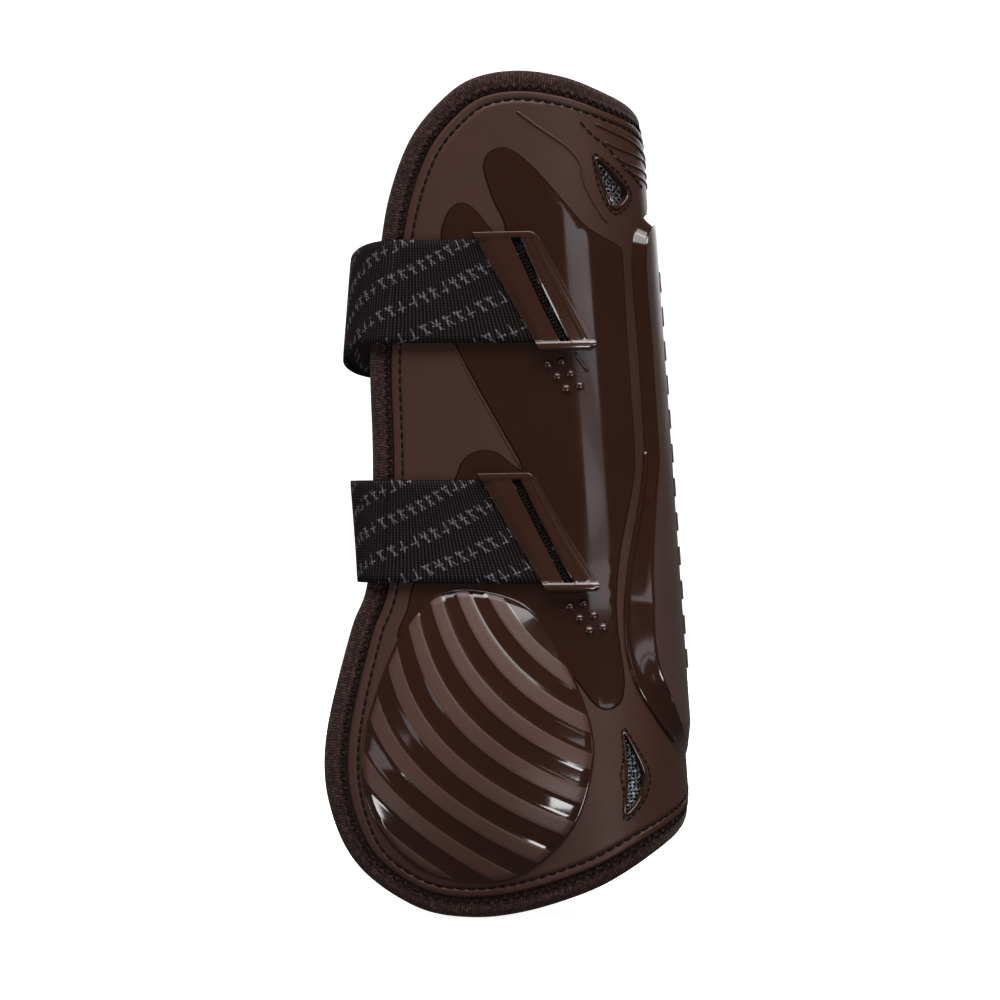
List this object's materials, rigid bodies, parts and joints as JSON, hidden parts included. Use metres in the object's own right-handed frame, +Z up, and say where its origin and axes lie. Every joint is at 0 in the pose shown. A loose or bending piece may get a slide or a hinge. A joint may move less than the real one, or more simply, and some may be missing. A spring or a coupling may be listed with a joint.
{
  "type": "horse tendon boot",
  "caption": "Open-front tendon boot for a horse's lower leg: moulded shell with tendon ridge and strike domes, padded lining, elastic straps that open.",
  "frame": {"origin": "on the axis of the leg channel, level with the lowest edge of the boot", "axes": "+Z up along the leg; +X to the rear of the leg, where the tendon ridge is; -Y is the inner side of the leg, where the straps are sewn; the open front faces -X"},
  "size_m": [0.1088, 0.0936, 0.247],
  "materials": {
    "matte_tpu": "matte",
    "gloss_tpu": "gloss",
    "foam": "matte",
    "lining_knit": "matte knit",
    "binding_knit": "ribbed knit",
    "thread": "thread",
    "woven_mesh": "woven wire look",
    "elastic": "ribbed elastic",
    "pin_metal": "satin"
  },
  "bodies": {
    "boot": {"outer_shell": "matte_tpu", "tendon_ridge": "matte_tpu", "strike_dome_medial": "gloss_tpu", "strike_dome_lateral": "gloss_tpu", "shock_foam": "foam", "inner_lining": "lining_knit", "edge_binding": "binding_knit", "perimeter_stitching": "thread", "upper_vent_mesh_medial": "woven_mesh", "upper_vent_mesh_lateral": "woven_mesh", "lower_vent_mesh_medial": "woven_mesh", "lower_vent_mesh_lateral": "woven_mesh", "vent_stitching": "thread", "flex_seam_stitching": "thread", "upper_strap_bracket": "matte_tpu", "lower_strap_bracket": "matte_tpu", "grip_nubs": "matte_tpu", "upper_anchor_stitching": "thread", "lower_anchor_stitching": "thread", "upper_strap": "elastic", "lower_strap": "elastic", "upper_pin_plate": "gloss_tpu", "lower_pin_plate": "gloss_tpu", "fastening_pins": "pin_metal"},
    "upper_strap_end": {"upper_strap_end": "elastic", "upper_end_tab": "gloss_tpu", "upper_tab_stitching": "thread"},
    "lower_strap_end": {"lower_strap_end": "elastic", "lower_end_tab": "gloss_tpu", "lower_tab_stitching": "thread"}
  },
  "joints": [
    {"name": "upper_strap_opening", "type": "hinge", "parent": "boot", "child": "upper_strap_end", "pos_m": [-0.041, 0.03373, 0.1732], "axis": [0, 0, 1], "range_deg": [0, 110]},
    {"name": "lower_strap_opening", "type": "hinge", "parent": "boot", "child": "lower_strap_end", "pos_m": [-0.041, 0.03255, 0.1118], "axis": [0, 0, 1], "range_deg": [0, 110]}
  ]
}
